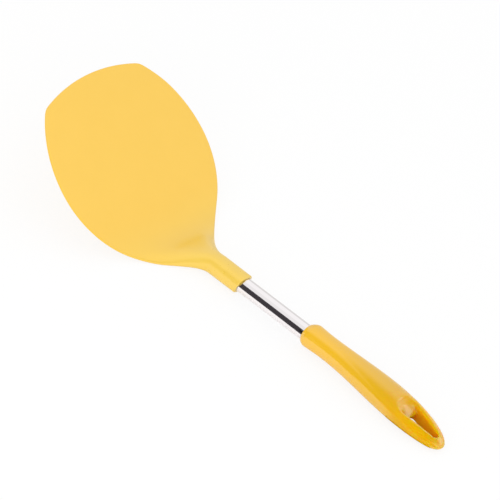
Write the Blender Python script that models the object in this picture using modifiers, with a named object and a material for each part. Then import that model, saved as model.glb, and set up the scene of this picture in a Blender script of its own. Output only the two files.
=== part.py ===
"""Omelette spatula: a flat moulded blade, a steel tube and a moulded handle with a hanging eye.

Two frames are used while modelling. In the blade's frame the top face of the flat blade is
z = 0, +X points to the front edge, and the origin is where the shaft's axis line crosses that
face. The shaft's frame has the same origin: +Z runs up the shaft to the handle, +X is its
upper side. The whole assembly is then tilted into the pose in which it lies on a table.
"""

import math

import bmesh
import bpy
import numpy as np
from mathutils import Matrix, Vector

# Fit between pieces
CLEARANCE = 0.0003

# Blade outline
BLADE_FRONT = 0.1178
BLADE_WIDTH = 0.136
BLADE_WIDEST = 0.0512
FRONT_RADIUS = 0.127
FRONT_SIDE_RADIUS = 0.088
REAR_SIDE_RADIUS = 0.074
CORNER_RADIUS = 0.015

# Blade sheet
BLADE_THICKNESS = 0.002
FRONT_EDGE_THICKNESS = 0.001
FRONT_TAPER_LENGTH = 0.022
EDGE_ROUNDING = 0.0012

# Neck, as distances from the blade's origin: the shoulder and saddle start in front of it
SHAFT_ANGLE = math.radians(35.0)
BEND_RADIUS = 0.040
SHOULDER_START = 0.0037
SHOULDER_EASE = 0.0162
NECK_START = 0.0459
NECK_EASE = 0.0105
NECK_RISE_START = 0.0184
NECK_RISE_END = 0.0486
SADDLE_START = 0.010
SADDLE_END = 0.050
SADDLE_FULLNESS = 3
SOCKET_WALL = 0.0011
NECK_SQUARENESS = 2.5
COLLAR_RAKE = math.radians(17.0)
COLLAR_RAKE_LENGTH = 0.012
COLLAR_LIP = 0.0005
LIP_LENGTH = 0.001

# Tube, measured along the shaft's axis from the origin
TUBE_DIAMETER = 0.012
TUBE_WALL = 0.0008
COLLAR_END = 0.0704
TUBE_SHOWING = 0.0609
TUBE_IN_BLADE = 0.025
TUBE_IN_HANDLE = 0.045

# Plugs that close the tube, and the cross pins that lock it
PLUG_LENGTH = 0.012
PLUG_CHAMFER = 0.0006
PIN_DIAMETER = 0.0025
PIN_GRIP = 0.0006
PIN_CHAMFER = 0.0002

# Handle, measured from its nose
HANDLE_LENGTH = 0.1299
NOSE_LIP = 0.0004
NOSE_SLOPE = 1.8
NOSE_FULLNESS = 1.4
NOSE_FLARE = 0.0006
WAIST_AT = 0.0192
WAIST_SIDE_WALL = 0.00146
WAIST_TOP_WALL = 0.00333
WAIST_BOTTOM_WALL = 0.00102
SWELL_AT = 0.0874
SWELL_WIDTH = 0.02484
SWELL_CLOSING = 2.28
BELLY_AT = 0.1050
BELLY_DEPTH = 0.01146
TOP_DROP = 0.0150
TOP_DROP_POWER = 3.4
END_ROUNDING = 0.00825
HANDLE_SQUARENESS = 2.3

# Hanging eye, and the ridge that its front wall slopes to from above and below
EYE_LENGTH = 0.0348
EYE_END_WALL = 0.0060
EYE_RAIL = 0.0057
EYE_REAR_RADIUS = 0.0026
EYE_RIDGE_LENGTH = 0.0099
EYE_RIDGE_DROP = 0.0035
EYE_RIDGE_RISE = 0.0096

# How finely the shapes are drawn
ROUND_SIDES = 48
PIN_SIDES = 24
ARC_STEPS = 16
HALF_LOOP = 16
EDGE_STEPS = 3
FRONT_STEP = 0.0055
SIDE_STEP = 0.010
BEND_STEP = 0.004
NECK_STEP = 0.0017
RAKE_STEP = 0.003
CURVE_STEPS = 60
NOSE_STEPS = 6
GRIP_STEPS = 26
END_STEPS = 10
SHARP_ANGLE = math.radians(40.0)

# How far cutters reach past their work, how near the axis points merge, steps of the pose search
CUT_MARGIN = 0.010
AXIS_MERGE = 0.00005
HALVINGS = 60

# Sizes that follow from those above
TUBE_RADIUS = TUBE_DIAMETER / 2
BORE_RADIUS = TUBE_RADIUS + CLEARANCE
NECK_RADIUS = BORE_RADIUS + SOCKET_WALL
NECK_OFFSET = NECK_RADIUS - BLADE_THICKNESS / 2
BLADE_HALF = BLADE_WIDTH / 2
TUBE_START = COLLAR_END - TUBE_IN_BLADE
HANDLE_NOSE = COLLAR_END + TUBE_SHOWING
TUBE_END = HANDLE_NOSE + TUBE_IN_HANDLE
PIN_LENGTH = TUBE_DIAMETER + 2 * PIN_GRIP
WAIST_HALF = BORE_RADIUS + WAIST_SIDE_WALL
WAIST_TOP = BORE_RADIUS + WAIST_TOP_WALL
WAIST_BOTTOM = BORE_RADIUS + WAIST_BOTTOM_WALL
NOSE_END = NOSE_SLOPE * WAIST_TOP_WALL
EYE_FRONT = HANDLE_LENGTH - EYE_END_WALL - EYE_LENGTH
BOW_START = BLADE_WIDEST / 3


def smooth(t):
    """Ease from 0 to 1 with level ends."""
    t = min(max(t, 0.0), 1.0)
    return t * t * (3 - 2 * t)


def signed_power(value, power):
    return math.copysign(abs(value) ** power, value)


def superellipse(angle, half_y, half_z, squareness):
    """Point of a rounded-square section, at an angle from +Y towards +Z."""
    power = 2 / squareness
    y = half_y * signed_power(math.cos(angle), power)
    z = half_z * signed_power(math.sin(angle), power)
    return y, z


# Blade outline: arcs for the front, the corners and the sides


def front_corner():
    """Centre of the corner's arc, and where it meets the front arc and the side arc."""
    front_x = BLADE_FRONT - FRONT_RADIUS
    side_y = BLADE_HALF - FRONT_SIDE_RADIUS
    reach_front = FRONT_RADIUS - CORNER_RADIUS
    reach_side = FRONT_SIDE_RADIUS - CORNER_RADIUS
    front_centre = Vector((front_x, 0.0))
    side_centre = Vector((BLADE_WIDEST, side_y))
    between = side_centre - front_centre
    along = (reach_front**2 - reach_side**2 + between.length_squared) / (2 * between.length)
    across = math.sqrt(reach_front**2 - along**2)
    unit = between.normalized()
    centre = front_centre + unit * along + Vector((-unit.y, unit.x)) * across
    if centre.y < 0:
        centre = front_centre + unit * along - Vector((-unit.y, unit.x)) * across
    meets_front = centre + (centre - front_centre).normalized() * CORNER_RADIUS
    meets_side = centre + (centre - side_centre).normalized() * CORNER_RADIUS
    return centre, meets_front, meets_side


CORNER, CORNER_FRONT, CORNER_SIDE = front_corner()
CORNER_MIDDLE = CORNER + ((CORNER_FRONT + CORNER_SIDE) / 2 - CORNER).normalized() * CORNER_RADIUS


def front_line(y):
    """How far forward the front edge reaches at a given distance from the middle."""
    if y <= CORNER_FRONT.y:
        return BLADE_FRONT - FRONT_RADIUS + math.sqrt(FRONT_RADIUS**2 - y**2)
    return CORNER.x + math.sqrt(CORNER_RADIUS**2 - (y - CORNER.y) ** 2)


def rear_arc(x):
    return BLADE_HALF - REAR_SIDE_RADIUS + math.sqrt(REAR_SIDE_RADIUS**2 - (x - BLADE_WIDEST) ** 2)


def shoulder_curve():
    """Bezier from the rear arc, along its tangent, into the neck's straight side."""
    x0 = SHOULDER_START
    y0 = rear_arc(x0)
    slope = (BLADE_WIDEST - x0) / (y0 - BLADE_HALF + REAR_SIDE_RADIUS)
    corners = (
        Vector((x0, y0)),
        Vector((x0 - SHOULDER_EASE, y0 - SHOULDER_EASE * slope)),
        Vector((-NECK_START + NECK_EASE, NECK_RADIUS)),
        Vector((-NECK_START, NECK_RADIUS)),
    )
    points = []
    for i in range(CURVE_STEPS + 1):
        t = i / CURVE_STEPS
        weights = ((1 - t) ** 3, 3 * (1 - t) ** 2 * t, 3 * (1 - t) * t**2, t**3)
        points.append(sum((w * c for w, c in zip(weights, corners)), Vector((0.0, 0.0))))
    return points


SHOULDER = shoulder_curve()
SHOULDER_X = [point.x for point in reversed(SHOULDER)]
SHOULDER_Y = [point.y for point in reversed(SHOULDER)]


def half_width(x):
    """Half the blade's width at x, with the neck unfolded into the sheet's plane."""
    if x > CORNER_SIDE.x:
        return CORNER.y + math.sqrt(CORNER_RADIUS**2 - (x - CORNER.x) ** 2)
    if x >= BLADE_WIDEST:
        reach = math.sqrt(FRONT_SIDE_RADIUS**2 - (x - BLADE_WIDEST) ** 2)
        return BLADE_HALF - FRONT_SIDE_RADIUS + reach
    if x >= SHOULDER_START:
        return rear_arc(x)
    return float(np.interp(x, SHOULDER_X, SHOULDER_Y))


# Blade spine: the sheet's middle plane, flat, then bent up to run beside the shaft


def bend_start():
    """The x where the bend starts, and how far up the shaft it ends."""
    to_vertex = (NECK_OFFSET * math.cos(SHAFT_ANGLE) - BLADE_THICKNESS / 2) / math.sin(SHAFT_ANGLE)
    vertex = -to_vertex * math.cos(SHAFT_ANGLE) - NECK_OFFSET * math.sin(SHAFT_ANGLE)
    tangent = BEND_RADIUS * math.tan(SHAFT_ANGLE / 2)
    return vertex + tangent, to_vertex + tangent


BEND_X, BEND_END = bend_start()
BEND_ARC = BEND_RADIUS * SHAFT_ANGLE


def unfolded(along_shaft):
    """The unfolded x that lies abreast of a distance along the shaft."""
    return BEND_X - BEND_ARC - (along_shaft - BEND_END)


def spine(x):
    """Point of the middle plane at unfolded x, and the angle by which it has turned up."""
    flat = Vector((max(x, BEND_X), 0.0, -BLADE_THICKNESS / 2))
    angle = min(max(BEND_X - x, 0.0), BEND_ARC) / BEND_RADIUS
    beyond = max(BEND_X - BEND_ARC - x, 0.0)
    back = BEND_RADIUS * math.sin(angle) + beyond * math.cos(angle)
    up = BEND_RADIUS * (1 - math.cos(angle)) + beyond * math.sin(angle)
    return flat + Vector((-back, 0.0, up)), angle


def sheet_thickness(x):
    """Full thickness, thinned from above towards the front edge."""
    share = smooth((x - (CORNER_MIDDLE.x - FRONT_TAPER_LENGTH)) / FRONT_TAPER_LENGTH)
    return BLADE_THICKNESS + (FRONT_EDGE_THICKNESS - BLADE_THICKNESS) * share


def sheet_half_loop(half_y, thickness):
    """Upper half of the flat sheet's section, from +Y to -Y, edges rounded over."""
    flat = half_y - EDGE_ROUNDING
    points = []
    for i in range(EDGE_STEPS):
        angle = math.pi / 2 * i / EDGE_STEPS
        points.append((flat + EDGE_ROUNDING * math.cos(angle), thickness / 2 * math.sin(angle)))
    inner = HALF_LOOP - 2 * EDGE_STEPS
    for i in range(inner + 1):
        points.append((flat * (1 - 2 * i / inner), thickness / 2))
    return points + [(-y, z) for y, z in reversed(points[:EDGE_STEPS])]


def saddle_height(x, rise):
    """How far the middle of the top stands above the plain mix of sheet and neck."""
    rise_of_neck = NECK_OFFSET + NECK_RADIUS - BLADE_THICKNESS / 2
    saddle = smooth((SADDLE_START - x) / (SADDLE_START + SADDLE_END))
    return rise_of_neck * max(saddle - rise, 0.0)


def blade_section(x):
    """Closed section of the blade at unfolded x, as (y, height above the middle plane)."""
    rise = smooth((-NECK_RISE_START - x) / (NECK_RISE_END - NECK_RISE_START))
    width = half_width(x)
    thickness = sheet_thickness(x)
    centre = (thickness - BLADE_THICKNESS) / 2
    flat_width = width + rise * (width - NECK_RADIUS)
    trim = COLLAR_LIP * smooth((unfolded(COLLAR_END - LIP_LENGTH) - x) / LIP_LENGTH)
    radius = NECK_RADIUS - trim
    neck_width = radius + rise * (width - NECK_RADIUS)
    saddle = saddle_height(x, rise)
    upper = []
    lower = []
    for i, (y, z) in enumerate(sheet_half_loop(flat_width, thickness)):
        neck_y, neck_z = superellipse(math.pi * i / HALF_LOOP, neck_width, radius, NECK_SQUARENESS)
        mixed_y = (1 - rise) * y + rise * neck_y
        across = min(abs(mixed_y) / width, 1.0)
        filled = saddle * (1 - across**SADDLE_FULLNESS)
        upper.append((mixed_y, (1 - rise) * (centre + z) + rise * (NECK_OFFSET + neck_z) + filled))
        lower.append((mixed_y, (1 - rise) * (centre - z) + rise * (NECK_OFFSET - neck_z)))
    return upper + lower[-2:0:-1]


def blade_loop(x):
    """The section at unfolded x, carried to its place in the blade's frame."""
    middle, angle = spine(x)
    width = half_width(x)
    bow = smooth((x - BOW_START) / (CORNER_MIDDLE.x - BOW_START))
    collar_x = unfolded(COLLAR_END)
    rake = math.tan(COLLAR_RAKE) * smooth((collar_x + COLLAR_RAKE_LENGTH - x) / COLLAR_RAKE_LENGTH)
    backward = Vector((-math.cos(angle), 0.0, math.sin(angle)))
    upward = Vector((math.sin(angle), 0.0, math.cos(angle)))
    loop = []
    for y, height in blade_section(x):
        forward = bow * (front_line(CORNER_MIDDLE.y * min(abs(y) / width, 1.0)) - CORNER_MIDDLE.x)
        point = middle + upward * height + backward * rake * (height - NECK_OFFSET)
        loop.append(point + Vector((forward, y, 0.0)))
    return loop


def blade_stations():
    """Unfolded x of every section, close together where the shape turns quickly."""
    collar_x = unfolded(COLLAR_END)
    spans = (
        (CORNER_MIDDLE.x, BLADE_WIDEST, FRONT_STEP),
        (BLADE_WIDEST, SADDLE_START, SIDE_STEP),
        (SADDLE_START, -NECK_RISE_START, BEND_STEP),
        (-NECK_RISE_START, -NECK_RISE_END, NECK_STEP),
        (-NECK_RISE_END, collar_x + LIP_LENGTH, RAKE_STEP),
        (collar_x + LIP_LENGTH, collar_x, LIP_LENGTH / 2),
    )
    stations = [CORNER_MIDDLE.x]
    for start, end, step in spans:
        count = math.ceil((start - end) / step)
        stations += [start + (end - start) * (i + 1) / count for i in range(count)]
    return stations


# Handle profile, measured from the nose: side, top and bottom distances from the tube's axis


def past_waist(s, to):
    return smooth((s - WAIST_AT) / (to - WAIST_AT))


def nose_share(s, step):
    """How much of the step from the bore's lip to the full section the nose has grown."""
    short = 1 - min(s / (NOSE_SLOPE * step), 1.0)
    return (1 - short**NOSE_FULLNESS) ** (1 / NOSE_FULLNESS)


def handle_half_width(s):
    flare = NOSE_FLARE * (1 - smooth(s / WAIST_AT))
    if s <= SWELL_AT:
        return WAIST_HALF + (SWELL_WIDTH / 2 - WAIST_HALF) * past_waist(s, SWELL_AT) + flare
    closed = min((s - SWELL_AT) / (HANDLE_LENGTH - SWELL_AT), 1.0)
    return SWELL_WIDTH / 2 * (1 - closed**SWELL_CLOSING) ** (1 / SWELL_CLOSING)


def handle_heights(s):
    """Heights of the top and the bottom above the tube's axis."""
    flare = NOSE_FLARE * (1 - smooth(s / WAIST_AT))
    behind = max(s - WAIST_AT, 0.0) / (HANDLE_LENGTH - WAIST_AT)
    top = WAIST_TOP - TOP_DROP * behind**TOP_DROP_POWER + flare
    bottom = WAIST_BOTTOM + (BELLY_DEPTH - WAIST_BOTTOM) * past_waist(s, BELLY_AT) + flare
    middle = (top - bottom) / 2
    half = (top + bottom) / 2
    into_end = max(s - HANDLE_LENGTH + END_ROUNDING, 0.0) / END_ROUNDING
    half *= math.sqrt(max(1 - into_end**2, 0.0))
    return middle + half, middle - half


def handle_loop(s):
    """Closed section of the handle in the shaft's frame."""
    top, bottom = handle_heights(s)
    middle = (top + bottom) / 2
    half_y = handle_half_width(s)
    lip = BORE_RADIUS + NOSE_LIP
    loop = []
    for i in range(2 * HALF_LOOP):
        angle = math.pi * i / HALF_LOOP
        y, x = superellipse(angle, half_y, top - middle, HANDLE_SQUARENESS)
        at_lip = Vector((lip * math.sin(angle), lip * math.cos(angle), HANDLE_NOSE + s))
        full = Vector((middle + x, y, HANDLE_NOSE + s))
        loop.append(at_lip.lerp(full, nose_share(s, (full - at_lip).length)))
    return loop


def handle_stations():
    """Distances from the nose, closer together round the nose and the end."""
    nose = [NOSE_END * (1 - math.cos(math.pi / 2 * i / NOSE_STEPS)) for i in range(NOSE_STEPS)]
    grip_end = HANDLE_LENGTH - 2 * END_ROUNDING
    grip = [NOSE_END + (grip_end - NOSE_END) * i / GRIP_STEPS for i in range(GRIP_STEPS)]
    turns = [math.sin(math.pi / 2 * i / END_STEPS) for i in range(END_STEPS)]
    return nose + grip + [grip_end + 2 * END_ROUNDING * turn for turn in turns]


# Building


def clear_scene():
    for obj in list(bpy.data.objects):
        bpy.data.objects.remove(obj, do_unlink=True)
    for collection in list(bpy.data.collections):
        bpy.data.collections.remove(collection)


def new_collection(name):
    collection = bpy.data.collections.new(name)
    bpy.context.scene.collection.children.link(collection)
    return collection


def principled(name, colour, roughness, metallic=0.0):
    material = bpy.data.materials.new(name)
    material.use_nodes = True
    shader = material.node_tree.nodes["Principled BSDF"]
    shader.inputs["Base Color"].default_value = (*colour, 1.0)
    shader.inputs["Roughness"].default_value = roughness
    shader.inputs["Metallic"].default_value = metallic
    material.diffuse_color = (*colour, 1.0)
    return material


def new_empty(name, collection, parent=None):
    empty = bpy.data.objects.new(name, None)
    empty.empty_display_size = 0.02
    collection.objects.link(empty)
    empty.parent = parent
    return empty


def new_object(name, mesh, collection, parent, material=None):
    obj = bpy.data.objects.new(name, mesh)
    collection.objects.link(obj)
    obj.parent = parent
    if material:
        mesh.materials.append(material)
    mesh.shade_smooth()
    mesh.set_sharp_from_angle(angle=SHARP_ANGLE)
    return obj


def new_cutter(name, mesh, collection, parent):
    cutter = new_object(name, mesh, collection, parent)
    cutter.hide_render = True
    cutter.display_type = "WIRE"
    return cutter


def mesh_from(bm, name):
    bmesh.ops.recalc_face_normals(bm, faces=bm.faces)
    mesh = bpy.data.meshes.new(name)
    bm.to_mesh(mesh)
    bm.free()
    return mesh


def bridge(bm, rings):
    """Quads between each ring of vertices and the next."""
    for near, far in zip(rings, rings[1:]):
        for i in range(len(near)):
            j = (i + 1) % len(near)
            bm.faces.new((near[i], near[j], far[j], far[i]))


def blade_mesh():
    """Loft of the blade, from the front edge through the neck to the collar's end face."""
    bm = bmesh.new()
    rings = [[bm.verts.new(point) for point in blade_loop(x)] for x in blade_stations()]
    bridge(bm, rings)
    front = rings[0]
    count = len(front)
    for i in range(1, HALF_LOOP - 1):
        bm.faces.new((front[i], front[i + 1], front[count - i - 1], front[count - i]))
    bm.faces.new((front[0], front[1], front[count - 1]))
    bm.faces.new((front[HALF_LOOP - 1], front[HALF_LOOP], front[HALF_LOOP + 1]))
    bm.faces.new(rings[-1])
    return mesh_from(bm, "blade")


def handle_mesh():
    """Loft of the handle, closed by its nose face and a point at the far end."""
    bm = bmesh.new()
    rings = [[bm.verts.new(point) for point in handle_loop(s)] for s in handle_stations()]
    bridge(bm, rings)
    bm.faces.new(rings[0])
    top, bottom = handle_heights(HANDLE_LENGTH)
    tip = bm.verts.new(((top + bottom) / 2, 0.0, HANDLE_NOSE + HANDLE_LENGTH))
    last = rings[-1]
    for i in range(len(last)):
        bm.faces.new((last[i], last[(i + 1) % len(last)], tip))
    return mesh_from(bm, "handle")


def cylinder_mesh(name, radius, length, sides, chamfer=0.0):
    """Cylinder about Z, centred on its origin, with its end edges chamfered."""
    bm = bmesh.new()
    bmesh.ops.create_cone(
        bm, cap_ends=True, segments=sides, radius1=radius, radius2=radius, depth=length
    )
    if chamfer:
        rims = [edge for edge in bm.edges if abs(edge.verts[0].co.z - edge.verts[1].co.z) < chamfer]
        bmesh.ops.bevel(bm, geom=rims, offset=chamfer, segments=1, affect="EDGES")
    return mesh_from(bm, name)


def tube_profile_mesh():
    """Cross-section of the tube's wall at +X, outer side running down."""
    outer = TUBE_RADIUS
    inner = TUBE_RADIUS - TUBE_WALL
    corners = ((outer, TUBE_END), (outer, TUBE_START), (inner, TUBE_START), (inner, TUBE_END))
    bm = bmesh.new()
    points = [bm.verts.new((x, 0.0, z)) for x, z in corners]
    for i in range(len(points)):
        bm.edges.new((points[i], points[(i + 1) % len(points)]))
    mesh = bpy.data.meshes.new("shaft_tube")
    bm.to_mesh(mesh)
    bm.free()
    return mesh


def turn(obj):
    screw = obj.modifiers.new("turned", "SCREW")
    screw.steps = ROUND_SIDES
    screw.render_steps = ROUND_SIDES
    screw.use_merge_vertices = True
    screw.merge_threshold = AXIS_MERGE
    screw.use_smooth_shade = True


def cut(obj, cutter):
    boolean = obj.modifiers.new(cutter.name, "BOOLEAN")
    boolean.operation = "DIFFERENCE"
    boolean.object = cutter


def eye_outline(ridge):
    """Teardrop through the handle's end, as (s, y), its front filled up by the ridge."""
    rear_s = HANDLE_LENGTH - EYE_END_WALL - EYE_REAR_RADIUS
    front_radius = handle_half_width(EYE_FRONT) - EYE_RAIL
    front_s = EYE_FRONT + front_radius
    lean = math.asin((front_radius - EYE_REAR_RADIUS) / (rear_s - front_s))
    points = []
    for centre, radius, start, sweep in (
        (front_s, front_radius, math.pi / 2 - lean, math.pi + 2 * lean),
        (rear_s, EYE_REAR_RADIUS, -math.pi / 2 + lean, math.pi - 2 * lean),
    ):
        for i in range(ARC_STEPS + 1):
            angle = start + sweep * i / ARC_STEPS
            s = max(centre + radius * math.cos(angle), EYE_FRONT + ridge)
            side = front_radius / math.cos(lean) - (s - front_s) * math.tan(lean)
            points.append((s, min(max(radius * math.sin(angle), -side), side)))
    return points


def eye_mesh():
    """Loft of the eye's outline, through the handle from below to above."""
    bm = bmesh.new()
    levels = (
        (-SWELL_WIDTH, 0.0),
        (-EYE_RIDGE_DROP - EYE_RIDGE_RISE, 0.0),
        (-EYE_RIDGE_DROP, EYE_RIDGE_LENGTH),
        (-EYE_RIDGE_DROP + EYE_RIDGE_RISE, 0.0),
        (SWELL_WIDTH, 0.0),
    )
    rings = []
    for x, ridge in levels:
        rings.append([bm.verts.new((x, y, HANDLE_NOSE + s)) for s, y in eye_outline(ridge)])
    bridge(bm, rings)
    bm.faces.new(rings[0])
    bm.faces.new(rings[-1])
    return mesh_from(bm, "eye_cutter")


def bore_cutter(name, start, end, cutters, parent):
    mesh = cylinder_mesh(name, BORE_RADIUS, end - start, ROUND_SIDES)
    cutter = new_cutter(name, mesh, cutters, parent)
    cutter.location.z = (start + end) / 2
    return cutter


def cross_cutter(name, at, radius, length, cutters, parent):
    """Cutter for a cross pin's hole: a cylinder along Y at a distance up the shaft."""
    cutter = new_cutter(name, cylinder_mesh(name, radius, length, PIN_SIDES), cutters, parent)
    cutter.location.z = at
    cutter.rotation_euler.x = math.pi / 2
    return cutter


def make_pin(name, at, parts, parent, material):
    mesh = cylinder_mesh(name, PIN_DIAMETER / 2, PIN_LENGTH, PIN_SIDES, PIN_CHAMFER)
    pin = new_object(name, mesh, parts, parent, material)
    pin.location.z = at
    pin.rotation_euler.x = math.pi / 2
    return pin


def make_plug(name, at, parts, parent, material):
    radius = TUBE_RADIUS - TUBE_WALL - CLEARANCE
    mesh = cylinder_mesh(name, radius, PLUG_LENGTH, ROUND_SIDES, PLUG_CHAMFER)
    plug = new_object(name, mesh, parts, parent, material)
    plug.location.z = at
    return plug


def vertices_of(obj):
    return np.array([vertex.co[:] for vertex in obj.data.vertices])


def rest_tilt(blade_points, handle_points):
    """Angle that brings the blade's heel and the handle's belly down to one level."""

    def lowest(points, angle):
        return (points[:, 0] * math.sin(angle) + points[:, 2] * math.cos(angle)).min()

    low = 0.0
    high = math.pi / 2
    for _ in range(HALVINGS):
        angle = (low + high) / 2
        if lowest(blade_points, angle) < lowest(handle_points, angle):
            low = angle
        else:
            high = angle
    return (low + high) / 2


def lay_on_table(rest, blade_points, handle_points):
    """Tilt the assembly onto its heel and handle, its box centred over the origin."""
    angle = rest_tilt(blade_points, handle_points)
    turned = np.array(Matrix.Rotation(-angle, 3, "Y"))
    points = np.concatenate((blade_points, handle_points)) @ turned.T
    rest.rotation_euler.y = -angle
    rest.location.x = -(points[:, 0].min() + points[:, 0].max()) / 2
    rest.location.z = -points[:, 2].min()


def main():
    clear_scene()
    parts = new_collection("omelette_spatula")
    cutters = new_collection("cutters")
    rest = new_empty("rest_pose", parts)
    shaft = new_empty("shaft_axis", parts, rest)
    shaft.rotation_euler.y = SHAFT_ANGLE - math.pi / 2

    nylon = principled("yellow_nylon", (0.991, 0.631, 0.133), 0.45)
    gloss = principled("yellow_gloss_plastic", (0.823, 0.451, 0.022), 0.12)
    steel = principled("polished_steel", (0.80, 0.79, 0.79), 0.08, metallic=1.0)
    pin_steel = principled("pin_steel", (0.56, 0.55, 0.54), 0.35, metallic=1.0)
    plug_nylon = principled("natural_nylon", (0.76, 0.73, 0.66), 0.5)

    blade = new_object("blade", blade_mesh(), parts, rest, nylon)
    handle = new_object("handle", handle_mesh(), parts, shaft, gloss)
    tube = new_object("shaft_tube", tube_profile_mesh(), parts, shaft, steel)
    turn(tube)

    blade_pin_at = TUBE_START + PLUG_LENGTH / 2
    handle_pin_at = TUBE_END - PLUG_LENGTH / 2
    front_plug = make_plug("front_plug", blade_pin_at, parts, shaft, plug_nylon)
    rear_plug = make_plug("rear_plug", handle_pin_at, parts, shaft, plug_nylon)
    make_pin("blade_pin", blade_pin_at, parts, shaft, pin_steel)
    make_pin("handle_pin", handle_pin_at, parts, shaft, pin_steel)

    socket_start = TUBE_START - CLEARANCE
    socket_end = TUBE_END + CLEARANCE
    cut(blade, bore_cutter("socket_cut", socket_start, COLLAR_END + CUT_MARGIN, cutters, shaft))
    cut(handle, bore_cutter("bore_cut", HANDLE_NOSE - CUT_MARGIN, socket_end, cutters, shaft))
    hole_radius = PIN_DIAMETER / 2 + CLEARANCE
    hole_length = PIN_LENGTH + 2 * CLEARANCE
    for name, at, moulding, plug in (
        ("blade_pin_cut", blade_pin_at, blade, front_plug),
        ("handle_pin_cut", handle_pin_at, handle, rear_plug),
    ):
        cutter = cross_cutter(name, at, hole_radius, hole_length, cutters, shaft)
        for obj in (moulding, tube, plug):
            cut(obj, cutter)
    cut(handle, new_cutter("eye_cut", eye_mesh(), cutters, shaft))

    shaft_turn = np.array(Matrix.Rotation(shaft.rotation_euler.y, 3, "Y"))
    lay_on_table(rest, vertices_of(blade), vertices_of(handle) @ shaft_turn.T)
    bpy.context.view_layer.update()


main()
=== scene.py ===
"""Omelette spatula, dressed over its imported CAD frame.

The blade, the handle and the tube are drawn again here, finer than in the CAD and with their
rims rounded, and they stand for those nodes. The plugs and pins inside the tube keep their CAD
shapes and only get their finish. Pieces are drawn in the frames that the CAD uses: in the blade's
frame z = 0 is the top face of the flat blade, +X points to the front edge and the origin is where
the shaft's axis crosses that face. In the shaft's frame +Z runs up the shaft and +X is its upper
side.
"""

import math

import bmesh
import bpy
import numpy as np
from mathutils import Matrix, Quaternion, Vector
from mathutils.bvhtree import BVHTree


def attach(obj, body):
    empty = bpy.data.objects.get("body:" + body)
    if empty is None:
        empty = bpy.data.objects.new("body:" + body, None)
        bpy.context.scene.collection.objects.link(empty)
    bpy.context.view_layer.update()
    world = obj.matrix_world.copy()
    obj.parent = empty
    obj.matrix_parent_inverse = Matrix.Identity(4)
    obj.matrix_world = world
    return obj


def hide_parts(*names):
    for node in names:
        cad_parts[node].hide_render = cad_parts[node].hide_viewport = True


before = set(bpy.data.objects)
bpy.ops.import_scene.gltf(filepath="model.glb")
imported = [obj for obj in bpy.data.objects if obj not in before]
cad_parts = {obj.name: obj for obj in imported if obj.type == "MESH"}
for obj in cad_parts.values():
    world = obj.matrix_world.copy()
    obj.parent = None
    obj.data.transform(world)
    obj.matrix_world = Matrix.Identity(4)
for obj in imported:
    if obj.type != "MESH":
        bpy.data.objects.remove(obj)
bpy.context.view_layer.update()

# How the assembly lies on the table
REST_TILT = math.atan2(0.557913, 0.829899)
REST_PLACE = Vector((0.0812174, 0.0, 0.0070194))

# The CAD's sizes, in metres, as in the part's source
CLEARANCE = 0.0003
BLADE_FRONT = 0.1178
BLADE_HALF = 0.068
BLADE_WIDEST = 0.0512
FRONT_RADIUS = 0.127
FRONT_SIDE_RADIUS = 0.088
REAR_SIDE_RADIUS = 0.074
CORNER_RADIUS = 0.015
BLADE_THICKNESS = 0.002
FRONT_EDGE_THICKNESS = 0.001
FRONT_TAPER_LENGTH = 0.022
EDGE_ROUNDING = 0.0012
SHAFT_ANGLE = math.radians(35.0)
BEND_RADIUS = 0.040
SHOULDER_START = 0.0037
SHOULDER_EASE = 0.0162
NECK_START = 0.0459
NECK_EASE = 0.0105
NECK_RISE_START = 0.0184
NECK_RISE_END = 0.0486
SADDLE_START = 0.010
SADDLE_END = 0.050
SADDLE_FULLNESS = 3
SOCKET_WALL = 0.0011
NECK_SQUARENESS = 2.5
COLLAR_RAKE = math.radians(17.0)
COLLAR_RAKE_LENGTH = 0.012
COLLAR_LIP = 0.0005
LIP_LENGTH = 0.001
TUBE_RADIUS = 0.006
TUBE_WALL = 0.0008
COLLAR_END = 0.0704
TUBE_SHOWING = 0.0609
TUBE_IN_BLADE = 0.025
TUBE_IN_HANDLE = 0.045
PLUG_LENGTH = 0.012
PIN_RADIUS = 0.00125
PIN_LENGTH = 0.0132
HANDLE_LENGTH = 0.1299
NOSE_LIP = 0.0004
NOSE_SLOPE = 1.8
NOSE_FULLNESS = 1.4
NOSE_FLARE = 0.0006
WAIST_AT = 0.0192
WAIST_SIDE_WALL = 0.00146
WAIST_TOP_WALL = 0.00333
WAIST_BOTTOM_WALL = 0.00102
SWELL_AT = 0.0874
SWELL_HALF = 0.01242
SWELL_CLOSING = 2.28
BELLY_AT = 0.1050
BELLY_DEPTH = 0.01146
TOP_DROP = 0.0150
TOP_DROP_POWER = 3.4
END_ROUNDING = 0.00825
HANDLE_SQUARENESS = 2.3
EYE_LENGTH = 0.0348
EYE_END_WALL = 0.0060
EYE_RAIL = 0.0057
EYE_REAR_RADIUS = 0.0026
EYE_RIDGE_LENGTH = 0.0099
EYE_RIDGE_DROP = 0.0035
EYE_RIDGE_RISE = 0.0096

TUBE_START = COLLAR_END - TUBE_IN_BLADE
HANDLE_NOSE = COLLAR_END + TUBE_SHOWING
TUBE_END = HANDLE_NOSE + TUBE_IN_HANDLE
BORE_RADIUS = TUBE_RADIUS + CLEARANCE
NECK_RADIUS = BORE_RADIUS + SOCKET_WALL
NECK_OFFSET = NECK_RADIUS - BLADE_THICKNESS / 2
WAIST_HALF = BORE_RADIUS + WAIST_SIDE_WALL
WAIST_TOP = BORE_RADIUS + WAIST_TOP_WALL
WAIST_BOTTOM = BORE_RADIUS + WAIST_BOTTOM_WALL
NOSE_END = NOSE_SLOPE * WAIST_TOP_WALL
EYE_FRONT = HANDLE_LENGTH - EYE_END_WALL - EYE_LENGTH
BOW_START = BLADE_WIDEST / 3

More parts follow.
